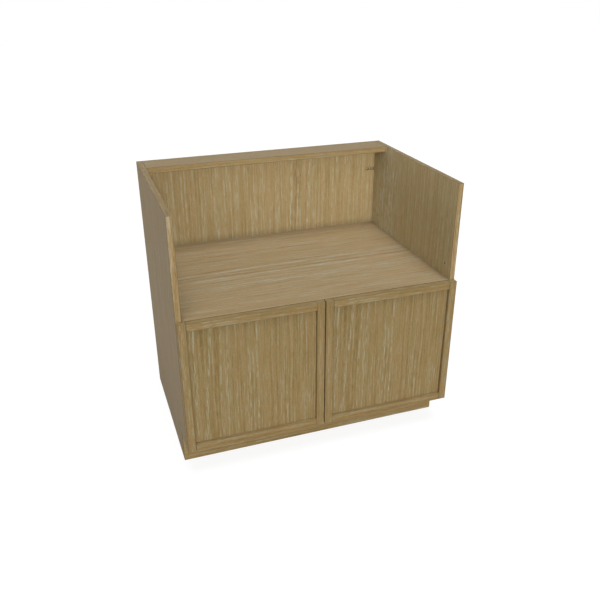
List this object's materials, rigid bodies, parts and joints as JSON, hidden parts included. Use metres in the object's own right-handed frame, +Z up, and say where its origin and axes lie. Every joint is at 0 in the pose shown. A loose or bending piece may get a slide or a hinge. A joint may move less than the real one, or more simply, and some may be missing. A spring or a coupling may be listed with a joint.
{
  "type": "sink base cabinet",
  "caption": "Base cabinet for an apron-front sink: an open bay over a deck, framed doors on concealed hinges below it, and a recessed toe space.",
  "frame": {"origin": "on the floor, under the middle of the whole cabinet's plan, doors included", "axes": "+X to the right as seen from the front, -Y towards the person at the sink, +Z up"},
  "size_m": [0.9144, 0.6302, 0.8763],
  "materials": {
    "oak_upright": "limed oak veneer with upright grain, matt lacquer",
    "oak_level": "limed oak veneer with grain along the width, matt lacquer",
    "oak_plain": "plain oak veneer on the framing pieces, matt lacquer",
    "beech": "bare fluted beech dowels",
    "nickel_steel": "nickel-plated pressed steel, satin",
    "zinc_steel": "zinc-plated steel",
    "soft_bumper": "soft translucent bumper"
  },
  "bodies": {
    "carcass": {"left_side": "oak_upright", "right_side": "oak_upright", "cabinet_floor": "oak_level", "sink_deck": "oak_level", "back_panel": "oak_upright", "top_rear_rail": "oak_level", "front_deck_rail": "oak_plain", "back_nailer": "oak_plain", "left_deck_cleat": "oak_plain", "right_deck_cleat": "oak_plain", "toe_board": "oak_level", "toe_backer": "oak_plain", "rear_sleeper": "oak_plain", "dowels": "beech", "back_screws": "zinc_steel", "cleat_screws": "zinc_steel", "left_hinge_plates": "nickel_steel", "left_hinge_arms": "nickel_steel", "left_plate_screws": "zinc_steel", "right_hinge_plates": "nickel_steel", "right_hinge_arms": "nickel_steel", "right_plate_screws": "zinc_steel"},
    "left_door": {"left_door_hinge_stile": "oak_upright", "left_door_lock_stile": "oak_upright", "left_door_top_rail": "oak_level", "left_door_bottom_rail": "oak_level", "left_door_panel": "oak_upright", "left_door_bumpers": "soft_bumper", "left_hinge_cups": "nickel_steel", "left_hinge_pins": "zinc_steel", "left_cup_screws": "zinc_steel"},
    "right_door": {"right_door_hinge_stile": "oak_upright", "right_door_lock_stile": "oak_upright", "right_door_top_rail": "oak_level", "right_door_bottom_rail": "oak_level", "right_door_panel": "oak_upright", "right_door_bumpers": "soft_bumper", "right_hinge_cups": "nickel_steel", "right_hinge_pins": "zinc_steel", "right_cup_screws": "zinc_steel"},
    "left_links": {"left_hinge_links": "nickel_steel"},
    "right_links": {"right_hinge_links": "nickel_steel"}
  },
  "joints": [
    {"name": "left_door_hinge", "type": "hinge", "parent": "carcass", "child": "left_door", "pos_m": [-0.4506, -0.31007, 0.3294], "axis": [0, 0, -1], "range_deg": [0, 110]},
    {"name": "right_door_hinge", "type": "hinge", "parent": "carcass", "child": "right_door", "pos_m": [0.4506, -0.31007, 0.3294], "axis": [0, 0, 1], "range_deg": [0, 110]},
    {"name": "left_link_pivot", "type": "hinge", "parent": "left_door", "child": "left_links", "pos_m": [-0.43075, -0.29302, 0.3294], "axis": [0, 0, 1], "range_deg": [0, 90]},
    {"name": "right_link_pivot", "type": "hinge", "parent": "right_door", "child": "right_links", "pos_m": [0.43075, -0.29302, 0.3294], "axis": [0, 0, -1], "range_deg": [0, 90]}
  ],
  "couplings": [
    {"joint": "left_link_pivot", "follows": "left_door_hinge", "ratio": 0.8181},
    {"joint": "right_link_pivot", "follows": "right_door_hinge", "ratio": 0.8181}
  ]
}
